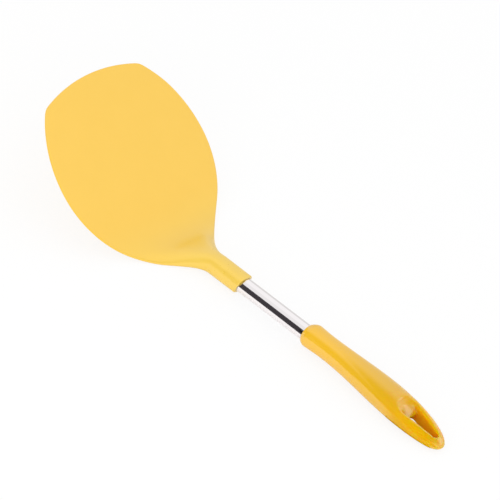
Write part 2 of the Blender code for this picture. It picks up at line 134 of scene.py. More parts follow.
# Roundings, and bores that hold the tube without the CAD's gap, which only the looks have
FRONT_ROUNDING = 0.0005
FRONT_ROUNDED_TO = 0.99
SNUG_GAP = 0.00006
SNUG_RADIUS = TUBE_RADIUS + SNUG_GAP
TUBE_CHAMFER = 0.0002
VOXEL = 0.0004
RIM_TOP_RADIUS = 0.0035
RIM_BOTTOM_RADIUS = 0.0008
RIM_BLEND_FROM = -0.004
RIM_BLEND_TO = 0.002
EYE_NEAR = 0.004
EYE_FAR = 0.006
FIRM_SHARE = 0.25
RELAX_FACTOR = 0.5
RELAX_PASSES = 6
ROUNDING_PASSES = 5

# How finely the looks are drawn
HALF_LOOP = 64
EDGE_STEPS = 12
CURVE_STEPS = 200
TUBE_SIDES = 128
ARC_STEPS = 48
FRONT_EDGE_STEP = 0.00006
FRONT_STEP = 0.0006
SIDE_STEP = 0.0025
SADDLE_STEP = 0.0010
BEND_STEP = 0.0006
NECK_STEP = 0.0010
LIP_STEP = 0.0001
NOSE_STEPS = 20
GRIP_STEPS = 110
END_STEPS = 40
EDGE_CROWDING = 1.2
SHARP_ANGLE = math.radians(35.0)
CUT_MARGIN = 0.010

REST = Matrix.Translation(REST_PLACE) @ Matrix.Rotation(-REST_TILT, 4, "Y")
SHAFT = REST @ Matrix.Rotation(SHAFT_ANGLE - math.pi / 2, 4, "Y")


def smooth(t):
    t = np.clip(t, 0.0, 1.0)
    return t * t * (3 - 2 * t)


def signed_power(value, power):
    return math.copysign(abs(value) ** power, value)


def superellipse(angle, half_y, half_z, squareness):
    power = 2 / squareness
    y = half_y * signed_power(math.cos(angle), power)
    z = half_z * signed_power(math.sin(angle), power)
    return y, z


# Blade outline


def front_corner():
    """Centre of the corner's arc, and where it meets the front arc and the side arc."""
    front_centre = Vector((BLADE_FRONT - FRONT_RADIUS, 0.0))
    side_centre = Vector((BLADE_WIDEST, BLADE_HALF - FRONT_SIDE_RADIUS))
    reach_front = FRONT_RADIUS - CORNER_RADIUS
    reach_side = FRONT_SIDE_RADIUS - CORNER_RADIUS
    between = side_centre - front_centre
    along = (reach_front**2 - reach_side**2 + between.length_squared) / (2 * between.length)
    across = math.sqrt(reach_front**2 - along**2)
    unit = between.normalized()
    centre = front_centre + unit * along + Vector((-unit.y, unit.x)) * across
    if centre.y < 0:
        centre = front_centre + unit * along - Vector((-unit.y, unit.x)) * across
    meets_front = centre + (centre - front_centre).normalized() * CORNER_RADIUS
    meets_side = centre + (centre - side_centre).normalized() * CORNER_RADIUS
    return centre, meets_front, meets_side


CORNER, CORNER_FRONT, CORNER_SIDE = front_corner()
CORNER_MIDDLE = CORNER + ((CORNER_FRONT + CORNER_SIDE) / 2 - CORNER).normalized() * CORNER_RADIUS


def front_line(y):
    if y <= CORNER_FRONT.y:
        return BLADE_FRONT - FRONT_RADIUS + math.sqrt(FRONT_RADIUS**2 - y**2)
    return CORNER.x + math.sqrt(CORNER_RADIUS**2 - (y - CORNER.y) ** 2)


def rear_arc(x):
    return BLADE_HALF - REAR_SIDE_RADIUS + math.sqrt(REAR_SIDE_RADIUS**2 - (x - BLADE_WIDEST) ** 2)


def shoulder_curve():
    """Bezier from the rear arc into the neck's straight side."""
    x0 = SHOULDER_START
    y0 = rear_arc(x0)
    slope = (BLADE_WIDEST - x0) / (y0 - BLADE_HALF + REAR_SIDE_RADIUS)
    corners = np.array(
        (
            (x0, y0),
            (x0 - SHOULDER_EASE, y0 - SHOULDER_EASE * slope),
            (-NECK_START + NECK_EASE, NECK_RADIUS),
            (-NECK_START, NECK_RADIUS),
        )
    )
    t = np.linspace(1, 0, CURVE_STEPS + 1)[:, None]
    weights = np.hstack(((1 - t) ** 3, 3 * (1 - t) ** 2 * t, 3 * (1 - t) * t**2, t**3))
    return (weights @ corners).T


SHOULDER_X, SHOULDER_Y = shoulder_curve()


def half_width(x):
    """Half the blade's width at x, with the neck unfolded into the sheet's plane."""
    if x > CORNER_SIDE.x:
        return CORNER.y + math.sqrt(CORNER_RADIUS**2 - (x - CORNER.x) ** 2)
    if x >= BLADE_WIDEST:
        reach = math.sqrt(FRONT_SIDE_RADIUS**2 - (x - BLADE_WIDEST) ** 2)
        return BLADE_HALF - FRONT_SIDE_RADIUS + reach
    if x >= SHOULDER_START:
        return rear_arc(x)
    return float(np.interp(x, SHOULDER_X, SHOULDER_Y))


# Blade section and spine


def bend_start():
    to_vertex = (NECK_OFFSET * math.cos(SHAFT_ANGLE) - BLADE_THICKNESS / 2) / math.sin(SHAFT_ANGLE)
    vertex = -to_vertex * math.cos(SHAFT_ANGLE) - NECK_OFFSET * math.sin(SHAFT_ANGLE)
    tangent = BEND_RADIUS * math.tan(SHAFT_ANGLE / 2)
    return vertex + tangent, to_vertex + tangent


BEND_X, BEND_END = bend_start()
BEND_ARC = BEND_RADIUS * SHAFT_ANGLE
COLLAR_X = BEND_X - BEND_ARC - (COLLAR_END - BEND_END)


def spine(x):
    """Point of the middle plane at unfolded x, and the angle by which it has turned up."""
    flat = Vector((max(x, BEND_X), 0.0, -BLADE_THICKNESS / 2))
    angle = min(max(BEND_X - x, 0.0), BEND_ARC) / BEND_RADIUS
    beyond = max(BEND_X - BEND_ARC - x, 0.0)
    back = BEND_RADIUS * math.sin(angle) + beyond * math.cos(angle)
    up = BEND_RADIUS * (1 - math.cos(angle)) + beyond * math.sin(angle)
    return flat + Vector((-back, 0.0, up)), angle


def sheet_thickness(x):
    """Full thickness, thinned towards the front edge; front_rounding rounds it over there."""
    share = smooth((x - (CORNER_MIDDLE.x - FRONT_TAPER_LENGTH)) / FRONT_TAPER_LENGTH)
    return BLADE_THICKNESS + (FRONT_EDGE_THICKNESS - BLADE_THICKNESS) * share


def front_rounding(x):
    into = min(max((x - CORNER_MIDDLE.x + FRONT_ROUNDING) / FRONT_ROUNDING, 0.0), FRONT_ROUNDED_TO)
    return math.sqrt(1 - into**2)


def sheet_half_loop(half_y, thickness, crowding):
    """Upper half of the flat section, from +Y to -Y, closer together near the edges."""
    flat = half_y - EDGE_ROUNDING
    points = []
    for i in range(EDGE_STEPS):
        angle = math.pi / 2 * i / EDGE_STEPS
        points.append((flat + EDGE_ROUNDING * math.cos(angle), thickness / 2 * math.sin(angle)))
    inner = HALF_LOOP - 2 * EDGE_STEPS
    for i in range(inner + 1):
        across = 1 - 2 * i / inner
        share = 1 - (1 - abs(across)) ** (1 + crowding)
        points.append((flat * math.copysign(share, across), thickness / 2))
    return points + [(-y, z) for y, z in reversed(points[:EDGE_STEPS])]


def saddle_height(x, rise):
    """How far the middle of the top stands above the plain mix of sheet and neck."""
    from_sheet = BLADE_THICKNESS / 2
    rise_of_neck = NECK_OFFSET + NECK_RADIUS - from_sheet
    saddle = smooth((SADDLE_START - x) / (SADDLE_START + SADDLE_END))
    return rise_of_neck * max(saddle - rise, 0.0)


def blade_section(x):
    """Closed section of the blade at unfolded x, as (y, height above the middle plane)."""
    rise = smooth((-NECK_RISE_START - x) / (NECK_RISE_END - NECK_RISE_START))
    width = half_width(x)
    thickness = sheet_thickness(x)
    centre = (thickness - BLADE_THICKNESS) / 2
    thickness = thickness * front_rounding(x)
    flat_width = width + rise * (width - NECK_RADIUS)
    into_lip = min(max((COLLAR_X + LIP_LENGTH - x) / LIP_LENGTH, 0.0), 1.0)
    radius = NECK_RADIUS - COLLAR_LIP * (1 - math.sqrt(1 - into_lip**2))
    neck_width = radius + rise * (width - NECK_RADIUS)
    crowding = EDGE_CROWDING * smooth((x + NECK_RISE_START) / NECK_RISE_START)
    saddle = saddle_height(x, rise)
    upper = []
    lower = []
    for i, (y, z) in enumerate(sheet_half_loop(flat_width, thickness, crowding)):
        neck_y, neck_z = superellipse(math.pi * i / HALF_LOOP, neck_width, radius, NECK_SQUARENESS)
        mixed_y = (1 - rise) * y + rise * neck_y
        across = min(abs(mixed_y) / width, 1.0)
        filled = saddle * (1 - across**SADDLE_FULLNESS)
        upper.append((mixed_y, (1 - rise) * (centre + z) + rise * (NECK_OFFSET + neck_z) + filled))
        lower.append((mixed_y, (1 - rise) * (centre - z) + rise * (NECK_OFFSET - neck_z)))
    return upper + lower[-2:0:-1]


def blade_loop(x):
    middle, angle = spine(x)
    width = half_width(x)
    bow = smooth((x - BOW_START) / (CORNER_MIDDLE.x - BOW_START))
    into_rake = (COLLAR_X + COLLAR_RAKE_LENGTH - x) / COLLAR_RAKE_LENGTH
    rake = math.tan(COLLAR_RAKE) * smooth(into_rake)
    backward = Vector((-math.cos(angle), 0.0, math.sin(angle)))
    upward = Vector((math.sin(angle), 0.0, math.cos(angle)))
    loop = []
    for y, height in blade_section(x):
        forward = bow * (front_line(CORNER_MIDDLE.y * min(abs(y) / width, 1.0)) - CORNER_MIDDLE.x)
        point = middle + upward * height + backward * rake * (height - NECK_OFFSET)
        loop.append(point + Vector((forward, y, 0.0)))
    return loop


def blade_stations():
    spans = (
        (CORNER_MIDDLE.x, CORNER_MIDDLE.x - FRONT_ROUNDING, FRONT_EDGE_STEP),
        (CORNER_MIDDLE.x - FRONT_ROUNDING, CORNER_SIDE.x, FRONT_STEP),
        (CORNER_SIDE.x, BLADE_WIDEST, SIDE_STEP),
        (BLADE_WIDEST, SADDLE_START, SIDE_STEP),
        (SADDLE_START, -NECK_RISE_START, SADDLE_STEP),
        (-NECK_RISE_START, -NECK_RISE_END, BEND_STEP),
        (-NECK_RISE_END, COLLAR_X + LIP_LENGTH, NECK_STEP),
        (COLLAR_X + LIP_LENGTH, COLLAR_X, LIP_STEP),
    )
    stations = [CORNER_MIDDLE.x]
    for start, end, step in spans:
        count = math.ceil((start - end) / step)
        stations += [start + (end - start) * (i + 1) / count for i in range(count)]
    return stations


# Handle profile


def past_waist(s, to):
    return smooth((s - WAIST_AT) / (to - WAIST_AT))


def nose_share(s, step):
    short = 1 - min(s / (NOSE_SLOPE * step), 1.0)
    return (1 - short**NOSE_FULLNESS) ** (1 / NOSE_FULLNESS)


def handle_half_width(s):
    flare = NOSE_FLARE * (1 - smooth(s / WAIST_AT))
    if s <= SWELL_AT:
        return WAIST_HALF + (SWELL_HALF - WAIST_HALF) * past_waist(s, SWELL_AT) + flare
    closed = min((s - SWELL_AT) / (HANDLE_LENGTH - SWELL_AT), 1.0)
    return SWELL_HALF * (1 - closed**SWELL_CLOSING) ** (1 / SWELL_CLOSING)


def handle_heights(s):
    flare = NOSE_FLARE * (1 - smooth(s / WAIST_AT))
    behind = max(s - WAIST_AT, 0.0) / (HANDLE_LENGTH - WAIST_AT)
    top = WAIST_TOP - TOP_DROP * behind**TOP_DROP_POWER + flare
    bottom = WAIST_BOTTOM + (BELLY_DEPTH - WAIST_BOTTOM) * past_waist(s, BELLY_AT) + flare
    middle = (top - bottom) / 2
    half = (top + bottom) / 2
    into_end = max(s - HANDLE_LENGTH + END_ROUNDING, 0.0) / END_ROUNDING
    half *= math.sqrt(max(1 - into_end**2, 0.0))
    return middle + half, middle - half


def handle_loop(s):
    top, bottom = handle_heights(s)
    middle = (top + bottom) / 2
    half_y = handle_half_width(s)
    lip = BORE_RADIUS + NOSE_LIP
    loop = []
    for i in range(2 * HALF_LOOP):
        angle = math.pi * i / HALF_LOOP
        y, x = superellipse(angle, half_y, top - middle, HANDLE_SQUARENESS)
        at_lip = Vector((lip * math.sin(angle), lip * math.cos(angle), HANDLE_NOSE + s))
        full = Vector((middle + x, y, HANDLE_NOSE + s))
        loop.append(at_lip.lerp(full, nose_share(s, (full - at_lip).length)))
    return loop


def handle_stations():
    nose = [NOSE_END * (1 - math.cos(math.pi / 2 * i / NOSE_STEPS)) for i in range(NOSE_STEPS)]
    grip_end = HANDLE_LENGTH - 2 * END_ROUNDING
    grip = [NOSE_END + (grip_end - NOSE_END) * i / GRIP_STEPS for i in range(GRIP_STEPS)]
    turns = [math.sin(math.pi / 2 * i / END_STEPS) for i in range(END_STEPS)]
    return nose + grip + [grip_end + 2 * END_ROUNDING * turn for turn in turns]


def eye_outline(ridge):
    """Teardrop through the handle's end, as (s, y), its front filled up by the ridge."""
    rear_s = HANDLE_LENGTH - EYE_END_WALL - EYE_REAR_RADIUS
    front_radius = handle_half_width(EYE_FRONT) - EYE_RAIL
    front_s = EYE_FRONT + front_radius
    lean = math.asin((front_radius - EYE_REAR_RADIUS) / (rear_s - front_s))
    points = []
    for centre, radius, start, sweep in (
        (front_s, front_radius, math.pi / 2 - lean, math.pi + 2 * lean),
        (rear_s, EYE_REAR_RADIUS, -math.pi / 2 + lean, math.pi - 2 * lean),
    ):
        for i in range(ARC_STEPS + 1):
            angle = start + sweep * i / ARC_STEPS
            s = max(centre + radius * math.cos(angle), EYE_FRONT + ridge)
            side = front_radius / math.cos(lean) - (s - front_s) * math.tan(lean)
            points.append((s, min(max(radius * math.sin(angle), -side), side)))
    return points


# Mesh building


def mesh_from(bm, name):
    bmesh.ops.recalc_face_normals(bm, faces=bm.faces)
    mesh = bpy.data.meshes.new(name)
    bm.to_mesh(mesh)
    bm.free()
    return mesh


def add_rings(bm, loops):
    """Rings of vertices with quads between each ring and the next."""
    rings = [[bm.verts.new(point) for point in loop] for loop in loops]
    for near, far in zip(rings, rings[1:]):
        for i in range(len(near)):
            j = (i + 1) % len(near)
            bm.faces.new((near[i], near[j], far[j], far[i]))
    return rings


def blade_mesh():
    bm = bmesh.new()
    rings = add_rings(bm, [blade_loop(x) for x in blade_stations()])
    front = rings[0]
    count = len(front)
    for i in range(1, HALF_LOOP - 1):
        bm.faces.new((front[i], front[i + 1], front[count - i - 1], front[count - i]))
    bm.faces.new((front[0], front[1], front[count - 1]))
    bm.faces.new((front[HALF_LOOP - 1], front[HALF_LOOP], front[HALF_LOOP + 1]))
    bm.faces.new(rings[-1])
    return mesh_from(bm, "nylon_blade")


def handle_mesh():
    bm = bmesh.new()
    rings = add_rings(bm, [handle_loop(s) for s in handle_stations()])
    bm.faces.new(rings[0])
    top, bottom = handle_heights(HANDLE_LENGTH)
    tip = bm.verts.new(((top + bottom) / 2, 0.0, HANDLE_NOSE + HANDLE_LENGTH))
    last = rings[-1]
    for i in range(len(last)):
        bm.faces.new((last[i], last[(i + 1) % len(last)], tip))
    return mesh_from(bm, "gloss_handle")


def eye_mesh():
    bm = bmesh.new()
    levels = (
        (-2 * SWELL_HALF, 0.0),
        (-EYE_RIDGE_DROP - EYE_RIDGE_RISE, 0.0),
        (-EYE_RIDGE_DROP, EYE_RIDGE_LENGTH),
        (-EYE_RIDGE_DROP + EYE_RIDGE_RISE, 0.0),
        (2 * SWELL_HALF, 0.0),
    )
    outlines = [[(x, y, HANDLE_NOSE + s) for s, y in eye_outline(ridge)] for x, ridge in levels]
    rings = add_rings(bm, outlines)
    bm.faces.new(rings[0])
    bm.faces.new(rings[-1])
    return mesh_from(bm, "eye_cutter")


def lathe_mesh(name, profile, closed=False):
    """Surface turned about Z from (radius, z) points; an open profile ends in flat caps."""
    bm = bmesh.new()
    loops = []
    for radius, z in profile:
        turns = [2 * math.pi * i / TUBE_SIDES for i in range(TUBE_SIDES)]
        loops.append([(radius * math.cos(turn), radius * math.sin(turn), z) for turn in turns])
    rings = add_rings(bm, loops)
    if closed:
        for i in range(TUBE_SIDES):
            j = (i + 1) % TUBE_SIDES
            bm.faces.new((rings[-1][i], rings[-1][j], rings[0][j], rings[0][i]))
    else:
        bm.faces.new(rings[0])
        bm.faces.new(rings[-1])
    return mesh_from(bm, name)


def tube_mesh():
    outer = TUBE_RADIUS
    inner = TUBE_RADIUS - TUBE_WALL
    edge = TUBE_CHAMFER
    profile = (
        (inner, TUBE_START + edge),
        (inner + edge, TUBE_START),
        (outer - edge, TUBE_START),
        (outer, TUBE_START + edge),
        (outer, TUBE_END - edge),
        (outer - edge, TUBE_END),
        (inner + edge, TUBE_END),
        (inner, TUBE_END - edge),
    )
    return lathe_mesh("polished_tube", profile, closed=True)


def new_object(name, mesh):
    obj = bpy.data.objects.new(name, mesh)
    bpy.context.scene.collection.objects.link(obj)
    return obj


def apply_modifiers(obj):
    graph = bpy.context.evaluated_depsgraph_get()
    mesh = bpy.data.meshes.new_from_object(obj.evaluated_get(graph))
    obj.modifiers.clear()
    obj.data = mesh


def cut(obj, mesh, place):
    """Takes a mesh, at its place in the object's own frame, out of the object."""
    mesh.transform(place)
    cutter = new_object(mesh.name, mesh)
    boolean = obj.modifiers.new("cut", "BOOLEAN")
    boolean.operation = "DIFFERENCE"
    boolean.solver = "EXACT"
    boolean.object = cutter
    apply_modifiers(obj)
    bpy.data.objects.remove(cutter)


def cut_round(obj, radius, start, end, place):
    cut(obj, lathe_mesh("round_cutter", ((radius, start), (radius, end))), place)


def cut_pin_hole(obj, at, place):
    half = PIN_LENGTH / 2 + CLEARANCE
    across = place @ Matrix.Translation((0, 0, at)) @ Matrix.Rotation(math.pi / 2, 4, "X")
    off_the_bore = Matrix.Rotation(math.pi / TUBE_SIDES, 4, "Z")
    cut_round(obj, PIN_RADIUS + CLEARANCE, -half, half, across @ off_the_bore)


def tree_of(mesh):
    return BVHTree.FromPolygons(
        [vertex.co for vertex in mesh.vertices], [face.vertices[:] for face in mesh.polygons]
    )


def rounded(point, body, walls):
    """The point moved towards the body less the eye, with the rim between them rounded."""
    blend = smooth((point.x - RIM_BLEND_FROM) / (RIM_BLEND_TO - RIM_BLEND_FROM))
    radius = RIM_BOTTOM_RADIUS + (RIM_TOP_RADIUS - RIM_BOTTOM_RADIUS) * float(blend)
    on_body, body_normal = body.find_nearest(point)[:2]
    on_wall, wall_normal = walls.find_nearest(point)[:2]
    outside = (point - on_body).dot(body_normal)
    in_eye = (on_wall - point).dot(wall_normal)
    from_body = max(radius + outside, 0.0)
    from_wall = max(radius + in_eye, 0.0)
    reach = math.hypot(from_body, from_wall)
    if reach == 0:
        return point
    off_surface = min(max(outside, in_eye), -radius) + reach
    return point - off_surface * (from_body * body_normal - from_wall * wall_normal) / reach


def round_the_rims(obj, body, walls):
    """Even small quads, rounded at the eye's rims and set back on the body's surface elsewhere."""
    remesh = obj.modifiers.new("quads", "REMESH")
    remesh.mode = "VOXEL"
    remesh.voxel_size = VOXEL
    apply_modifiers(obj)
    group = obj.vertex_groups.new(name="eye")
    near_eye = []
    for i, vertex in enumerate(obj.data.vertices):
        distance = walls.find_nearest(vertex.co)[3]
        near = 1 - float(smooth((distance - EYE_NEAR) / (EYE_FAR - EYE_NEAR)))
        if near > 0:
            for _ in range(ROUNDING_PASSES):
                vertex.co = rounded(vertex.co, body, walls)
        group.add((i,), FIRM_SHARE + (1 - FIRM_SHARE) * near, "REPLACE")
        near_eye.append(near)
    relax = obj.modifiers.new("relax", "SMOOTH")
    relax.factor = RELAX_FACTOR
    relax.iterations = RELAX_PASSES
    relax.vertex_group = group.name
    apply_modifiers(obj)
    for vertex, near in zip(obj.data.vertices, near_eye):
        found, _, _, distance = body.find_nearest(vertex.co)
        if distance < VOXEL:
            vertex.co = vertex.co.lerp(found, 1 - near)
    obj.vertex_groups.clear()


def finish_piece(obj, place, node, material):
    obj.data.transform(place)
    obj.data.materials.clear()
    obj.data.materials.append(material)
    obj.data.shade_smooth()
    obj.data.set_sharp_from_angle(angle=SHARP_ANGLE)
    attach(obj, "root")
    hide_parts(node)


def make_blade(material):
    blade = new_object("nylon_blade", blade_mesh())
    to_shaft = Matrix.Rotation(SHAFT_ANGLE - math.pi / 2, 4, "Y")
    cut_round(blade, SNUG_RADIUS, TUBE_START - CLEARANCE, COLLAR_END + CUT_MARGIN, to_shaft)
    cut_pin_hole(blade, TUBE_START + PLUG_LENGTH / 2, to_shaft)
    finish_piece(blade, REST, "blade", material)


def make_handle(material):
    handle = new_object("gloss_handle", handle_mesh())
    body = tree_of(handle.data)
    cutter = eye_mesh()
    walls = tree_of(cutter)
    as_drawn = Matrix.Identity(4)
    cut(handle, cutter, as_drawn)
    round_the_rims(handle, body, walls)
    cut_round(handle, SNUG_RADIUS, HANDLE_NOSE - CUT_MARGIN, TUBE_END + CLEARANCE, as_drawn)
    cut_pin_hole(handle, TUBE_END - PLUG_LENGTH / 2, as_drawn)
    finish_piece(handle, SHAFT, "handle", material)


def make_tube(material):
    tube = new_object("polished_tube", tube_mesh())
    for at in (TUBE_START + PLUG_LENGTH / 2, TUBE_END - PLUG_LENGTH / 2):
        cut_pin_hole(tube, at, Matrix.Identity(4))
    finish_piece(tube, SHAFT, "shaft_tube", material)


# Materials: pairs of colours that fine clouding mixes, and the places along X where they change

SHEET_COLOURS = ((0.925, 0.566, 0.046), (0.949, 0.584, 0.054))
# The neck's pair is painted shade: a tone that stands in for the neck's shading where it rises from
# the sheet
NECK_PAINTED_SHADE_COLOURS = ((0.880, 0.590, 0.068), (0.900, 0.610, 0.076))
SHEET_ENDS = 0.095
NECK_BEGINS = 0.045
GRIP_COLOURS = ((0.860, 0.485, 0.012), (0.880, 0.500, 0.016))
END_COLOURS = ((0.765, 0.430, 0.001), (0.785, 0.445, 0.003))
GRIP_ENDS = -0.075
END_BEGINS = -0.125
GLOW_FROM = -0.125
GLOW_FULL_AT = -0.155
GLOW_DEPTH = 0.020
GLOW_RADIUS = (1.0, 0.35, 0.05)
PLUG_COLOURS = ((0.74, 0.71, 0.64), (0.78, 0.75, 0.68))
TUBE_COLOUR = (0.890, 0.856, 0.862)
TUBE_ROUGHNESS = 0.06
TUBE_STREAK = 0.04
PIN_COLOUR = (0.56, 0.55, 0.54)
PIN_ROUGHNESS = 0.30
PIN_STREAK = 0.10
STREAK_SHADE = 0.97
STREAK_SCALE = (20.0, 2600.0, 2600.0)

# Sockets of the colour Mix node, which share their names with those of its other types
MIX_FIRST = 6
MIX_SECOND = 7
MIX_RESULT = 2


def give(tree, value, socket):
    """Links the value to the socket if it is a socket too, and otherwise sets it there."""
    if isinstance(value, bpy.types.NodeSocket):
        tree.links.new(value, socket)
    else:
        socket.default_value = value


class Shader:
    """A principled material whose nodes are added from left to right."""

    def __init__(self, name):
        self.material = bpy.data.materials.new(name)
        self.material.use_nodes = True
        self.tree = self.material.node_tree
        self.surface = self.tree.nodes["Principled BSDF"]
        coordinates = self.tree.nodes.new("ShaderNodeTexCoord")
        self.position = coordinates.outputs["Object"]

    def set(self, **values):
        for name, value in values.items():
            self.surface.inputs[name.replace("_", " ")].default_value = value

    def node(self, kind, **inputs):
        node = self.tree.nodes.new(kind)
        for name, value in inputs.items():
            give(self.tree, value, node.inputs[name.replace("_", " ")])
        return node

    def noise(self, scale, detail=2.0, vector=None):
        node = self.node("ShaderNodeTexNoise", Scale=scale, Detail=detail)
        self.tree.links.new(vector or self.position, node.inputs["Vector"])
        return node.outputs["Fac"]

    def mapped(self, value, low, high, start=0.3, end=0.7):
        node = self.node("ShaderNodeMapRange", Value=value, To_Min=low, To_Max=high)
        node.inputs["From Min"].default_value = start
        node.inputs["From Max"].default_value = end
        return node.outputs["Result"]

    def blend(self, share, first, second):
        node = self.tree.nodes.new("ShaderNodeMix")
        node.data_type = "RGBA"
        self.tree.links.new(share, node.inputs["Factor"])
        for index, value in ((MIX_FIRST, first), (MIX_SECOND, second)):
            opaque = (*value, 1.0) if isinstance(value, tuple) else value
            give(self.tree, opaque, node.inputs[index])
        return node.outputs[MIX_RESULT]

    def bump(self, height, distance, strength, normal=None):
        node = self.node("ShaderNodeBump", Height=height, Distance=distance, Strength=strength)
        if normal:
            self.tree.links.new(normal, node.inputs["Normal"])
        return node.outputs["Normal"]

    def feed(self, **links):
        for name, value in links.items():
            self.tree.links.new(value, self.surface.inputs[name.replace("_", " ")])


def blade_nylon():
    """Matte moulded nylon: fine grain and faint clouding, smoother in the neck, whose paler tone is
    painted shade.
    """
    shader = Shader("blade_nylon")
    shader.set(Specular_IOR_Level=1.0)
    place = shader.node("ShaderNodeSeparateXYZ", Vector=shader.position).outputs["X"]
    to_neck = shader.mapped(place, 0.0, 1.0, SHEET_ENDS, NECK_BEGINS)
    clouds = shader.noise(scale=60.0)
    sheet = shader.blend(clouds, *SHEET_COLOURS)
    # painted shade: the neck gets its own tone in place of its shading as it turns up from the
    # sheet
    neck = shader.blend(clouds, *NECK_PAINTED_SHADE_COLOURS)
    colour = shader.blend(to_neck, sheet, neck)
    polish = shader.noise(scale=400.0)
    matte = shader.mapped(polish, low=0.40, high=0.47)
    smoother = shader.mapped(polish, low=0.27, high=0.33)
    rough = shader.mapped(to_neck, matte, smoother, 0.0, 1.0)
    grain = shader.noise(scale=2200.0, detail=3.0)
    skin = shader.bump(grain, distance=0.00002, strength=0.35)
    shader.feed(Base_Color=colour, Roughness=rough, Normal=skin)
    return shader.material


def handle_plastic():
    """Glossy moulded plastic: faint ripple of the skin, and light that soaks in near the eye."""
    shader = Shader("handle_plastic")
    shader.set(Specular_IOR_Level=1.0, Subsurface_Scale=GLOW_DEPTH)
    shader.set(Subsurface_Radius=GLOW_RADIUS)
    place = shader.node("ShaderNodeSeparateXYZ", Vector=shader.position).outputs["X"]
    to_end = shader.mapped(place, 0.0, 1.0, GRIP_ENDS, END_BEGINS)
    clouds = shader.noise(scale=45.0)
    grip = shader.blend(clouds, *GRIP_COLOURS)
    end = shader.blend(clouds, *END_COLOURS)
    colour = shader.blend(to_end, grip, end)
    glowing = shader.mapped(place, 0.0, 1.0, GLOW_FROM, GLOW_FULL_AT)
    rough = shader.mapped(shader.noise(scale=260.0, detail=4.0), low=0.15, high=0.21)
    ripple = shader.bump(shader.noise(scale=320.0), distance=0.00003, strength=0.25)
    grain = shader.noise(scale=2600.0)
    skin = shader.bump(grain, distance=0.000006, strength=0.3, normal=ripple)
    shader.feed(Base_Color=colour, Roughness=rough, Normal=skin, Subsurface_Weight=glowing)
    return shader.material


def brushed(name, colour, roughness, streak, tilt):
    """Steel with fine streaks along the shaft, which runs close to the X axis."""
    shader = Shader(name)
    shader.set(Metallic=1.0)
    mapping = shader.node("ShaderNodeMapping", Vector=shader.position)
    mapping.inputs["Rotation"].default_value = (0.0, tilt, 0.0)
    mapping.inputs["Scale"].default_value = STREAK_SCALE
    lines = shader.noise(scale=1.0, detail=3.0, vector=mapping.outputs["Vector"])
    darker = tuple(STREAK_SHADE * value for value in colour)
    tone = shader.blend(lines, darker, colour)
    rough = shader.mapped(lines, roughness, roughness + streak)
    skin = shader.bump(lines, distance=0.000002, strength=0.2)
    shader.feed(Base_Color=tone, Roughness=rough, Normal=skin)
    return shader.material


def plug_nylon():
    shader = Shader("plug_nylon")
    colour = shader.blend(shader.noise(scale=300.0), *PLUG_COLOURS)
    rough = shader.mapped(shader.noise(scale=900.0), low=0.45, high=0.55)
    skin = shader.bump(shader.noise(scale=2500.0), distance=0.00002, strength=0.3)
    shader.feed(Base_Color=colour, Roughness=rough, Normal=skin)
    return shader.material


# Stage: floor, cards that only reflections see, light and camera

WHITE = (1.0, 1.0, 1.0, 1.0)
SEEN_SKY = 1.0
GLOSS_SKY = 1.05
GLOSS_DARK = 0.015
DARK_UP_TO = math.radians(51.0)
DARK_FADE = math.radians(26.0)
DIFFUSE_SKY = 0.91
FLOOR_HALF = 15.0
FLOOR_LEVEL = -0.0001
FLOOR_PAPER = 0.88
FLOOR_GLOW = 0.86
FLOOR_SHINE = 0.25
LAMP_AT = Vector((-0.50, 1.05, 0.50))
LAMP_SIZE = 1.2
LAMP_POWER = 5.0
CAMERA_AT = (-6.825654, 10.026298, 9.572668)
CAMERA_TURN = Quaternion((-0.37768311, -0.07189329, 0.4312003, 0.8162433))
SENSOR_WIDTH = 36.0
FOCAL_LENGTH = 1650.0
CLIP_START = 0.1
CLIP_END = 60.0

# Cards beside the shaft, from its collar to the handle's nose
CARD_GREY = 0.055
CARD_GREY_GREEN = 0.9 * CARD_GREY
CARD_WHITE = 0.95
CARD_NEAR = 0.037
CARD_FAR = 0.060
CARD_FOOT = 0.0002
CARD_DARK_TOP = math.radians(47.0)
CARD_WHITE_TOP = math.radians(88.0)
CARD_STEPS = 12
FAR_CARD_Y = -0.050
FAR_CARD_TOP = 0.045
FAR_CARD_COLOUR = (0.80, 0.80, 0.79)
SHADE_HALF = 0.013
SHAFT_HEIGHT = 0.009
REFLECTION_DRIFT = 0.506

# Level cards: name, height, grey, corners (x, y) and fades. A fade has a factor for x and one for
# y, and the sums of both products at which the card is clear and full.
ON_FLOOR = 0.0001
LEVEL_CARDS = (
    (
        "dark_strip",
        ON_FLOOR,
        GLOSS_DARK,
        ((-0.080, 0.050), (0.0575, 0.050), (1.405, 2.5), (1.140, 2.5)),
        ((1.0, -0.5, -0.102, -0.090),),
    ),
    (
        "rear_floor",
        ON_FLOOR,
        0.20,
        ((-0.600, 0.013), (-0.125, 0.013), (1.120, 2.5), (0.600, 2.5)),
        ((-1.0, 0.5, 0.135, 0.155),),
    ),
    (
        "over_card",
        0.130,
        GLOSS_DARK,
        ((-0.450, -0.250), (-0.020, -0.250), (-0.020, 0.160), (-0.450, 0.160)),
        ((-0.55, 1.0, -0.035, 0.085), (-1.0, 0.0, 0.018, 0.045), (1.0, 0.0, -0.36, -0.22)),
    ),
    (
        "eye_glint",
        0.100,
        2.2,
        ((-0.300, -0.190), (-0.215, -0.190), (-0.215, -0.085), (-0.300, -0.085)),
        (),
    ),
    (
        "shoulder_shade",
        ON_FLOOR,
        0.60,
        ((0.045, -0.150), (0.160, -0.150), (0.090, -0.036), (0.045, -0.036)),
        (),
    ),
)


def linked(tree, kind, operation=None, *values):
    """First output of a node whose inputs are given in order, as sockets or as values."""
    node = tree.nodes.new(kind)
    if operation:
        node.operation = operation
    for socket, value in zip(node.inputs, values):
        give(tree, value, socket)
    return node.outputs[0]


def between(tree, share, low, high):
    return linked(tree, "ShaderNodeMapRange", None, share, 0.0, 1.0, low, high)


